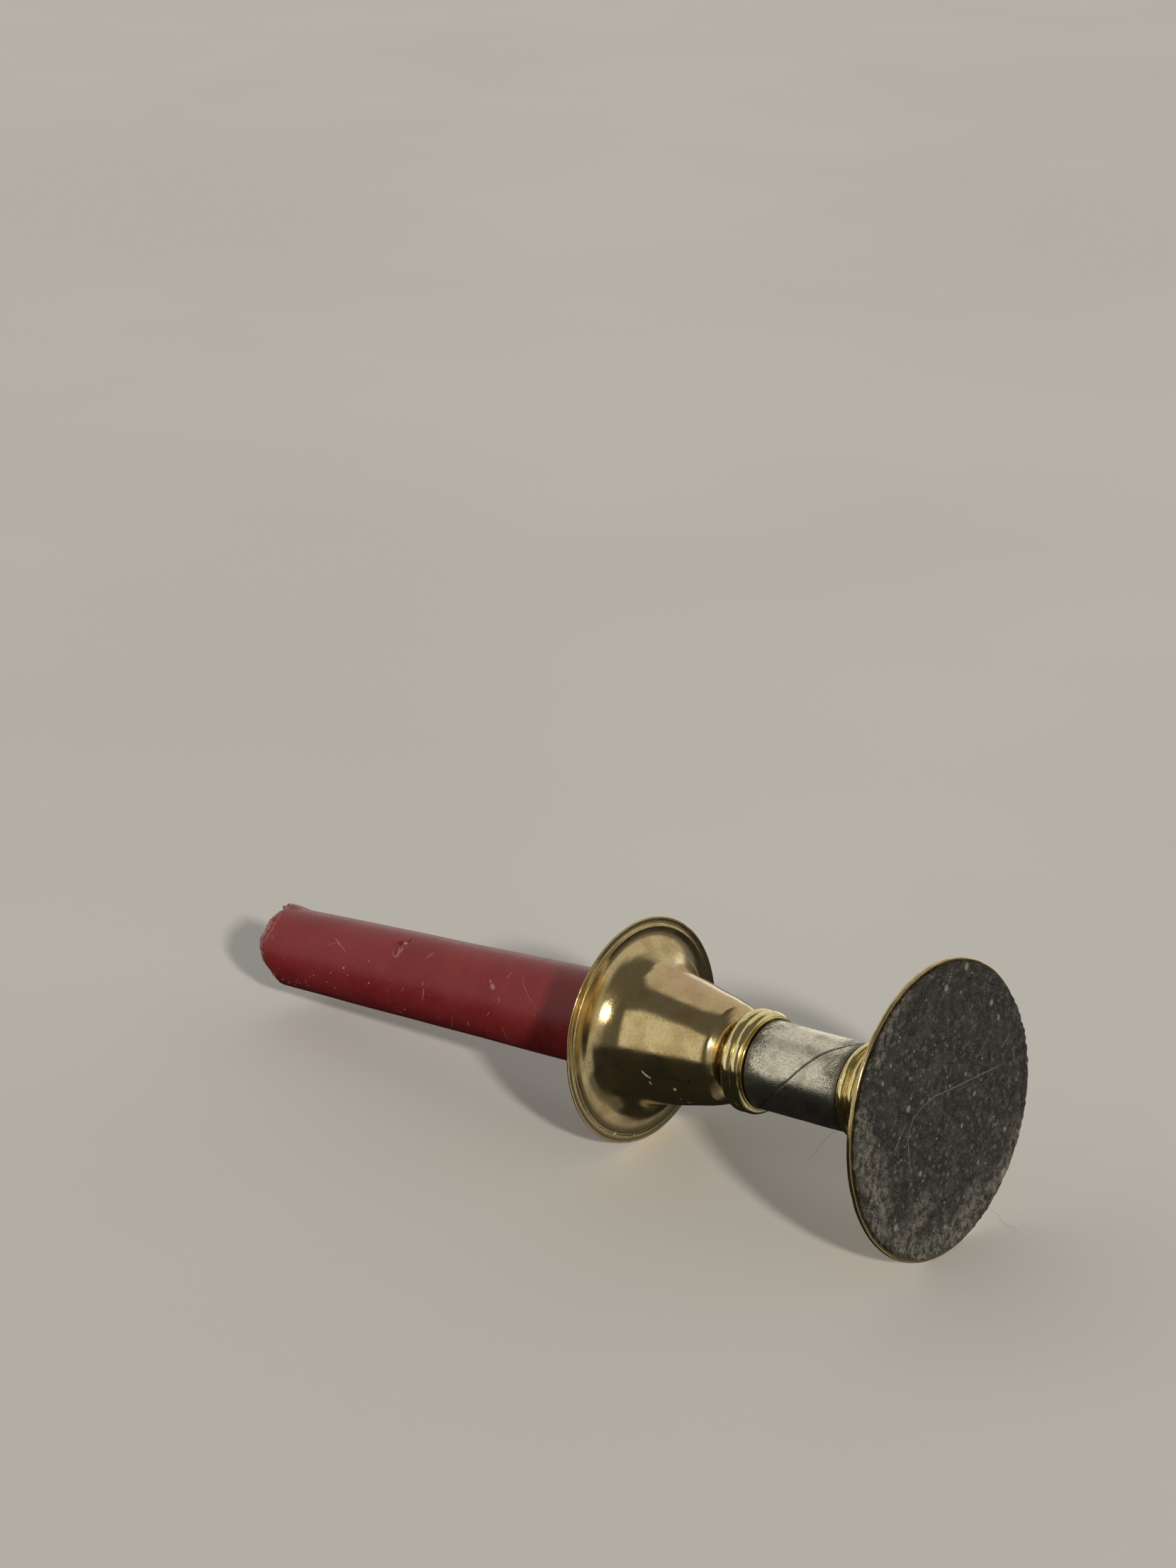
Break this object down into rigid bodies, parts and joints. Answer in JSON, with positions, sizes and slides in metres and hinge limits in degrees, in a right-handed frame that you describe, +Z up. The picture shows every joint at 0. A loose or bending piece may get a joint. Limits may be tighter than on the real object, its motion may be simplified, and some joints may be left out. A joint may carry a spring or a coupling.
{
  "type": "melted candle",
  "caption": "Burned-down taper candle stub in a small turned brass candlestick, lying on its side on the rims of its base and cup.",
  "frame": {"origin": "on the table, below the middle of the overall box", "axes": "+Z up, +X towards the underside of the base, -X towards the broken end of the candle, -Y towards the front side; the object lies on its side"},
  "size_m": [0.1976, 0.0638, 0.0636],
  "materials": {
    "aged_brass": "aged, finely grained, brown in the hollows",
    "polished_brass": "bright polished with fine scratches",
    "tarnished_plate": "thin plated sheet, dulled, with dark tarnish at both ends and along its seam",
    "zinc_steel": "plain zinc plate, hidden",
    "felt": "charcoal felt, dusty and smeared",
    "burgundy_wax": "satin wax, scuffed, with a torn and burned end",
    "charred_cotton": "braided cotton, charred at its tip"
  },
  "bodies": {
    "root": {"base_foot": "aged_brass", "base_felt": "felt", "tie_rod": "zinc_steel", "base_nut": "zinc_steel", "base_washer": "zinc_steel", "lower_ring": "polished_brass", "stem_sleeve": "tarnished_plate", "upper_ring": "polished_brass", "candle_cup": "aged_brass", "candle": "burgundy_wax", "wick": "charred_cotton"}
  },
  "joints": []
}
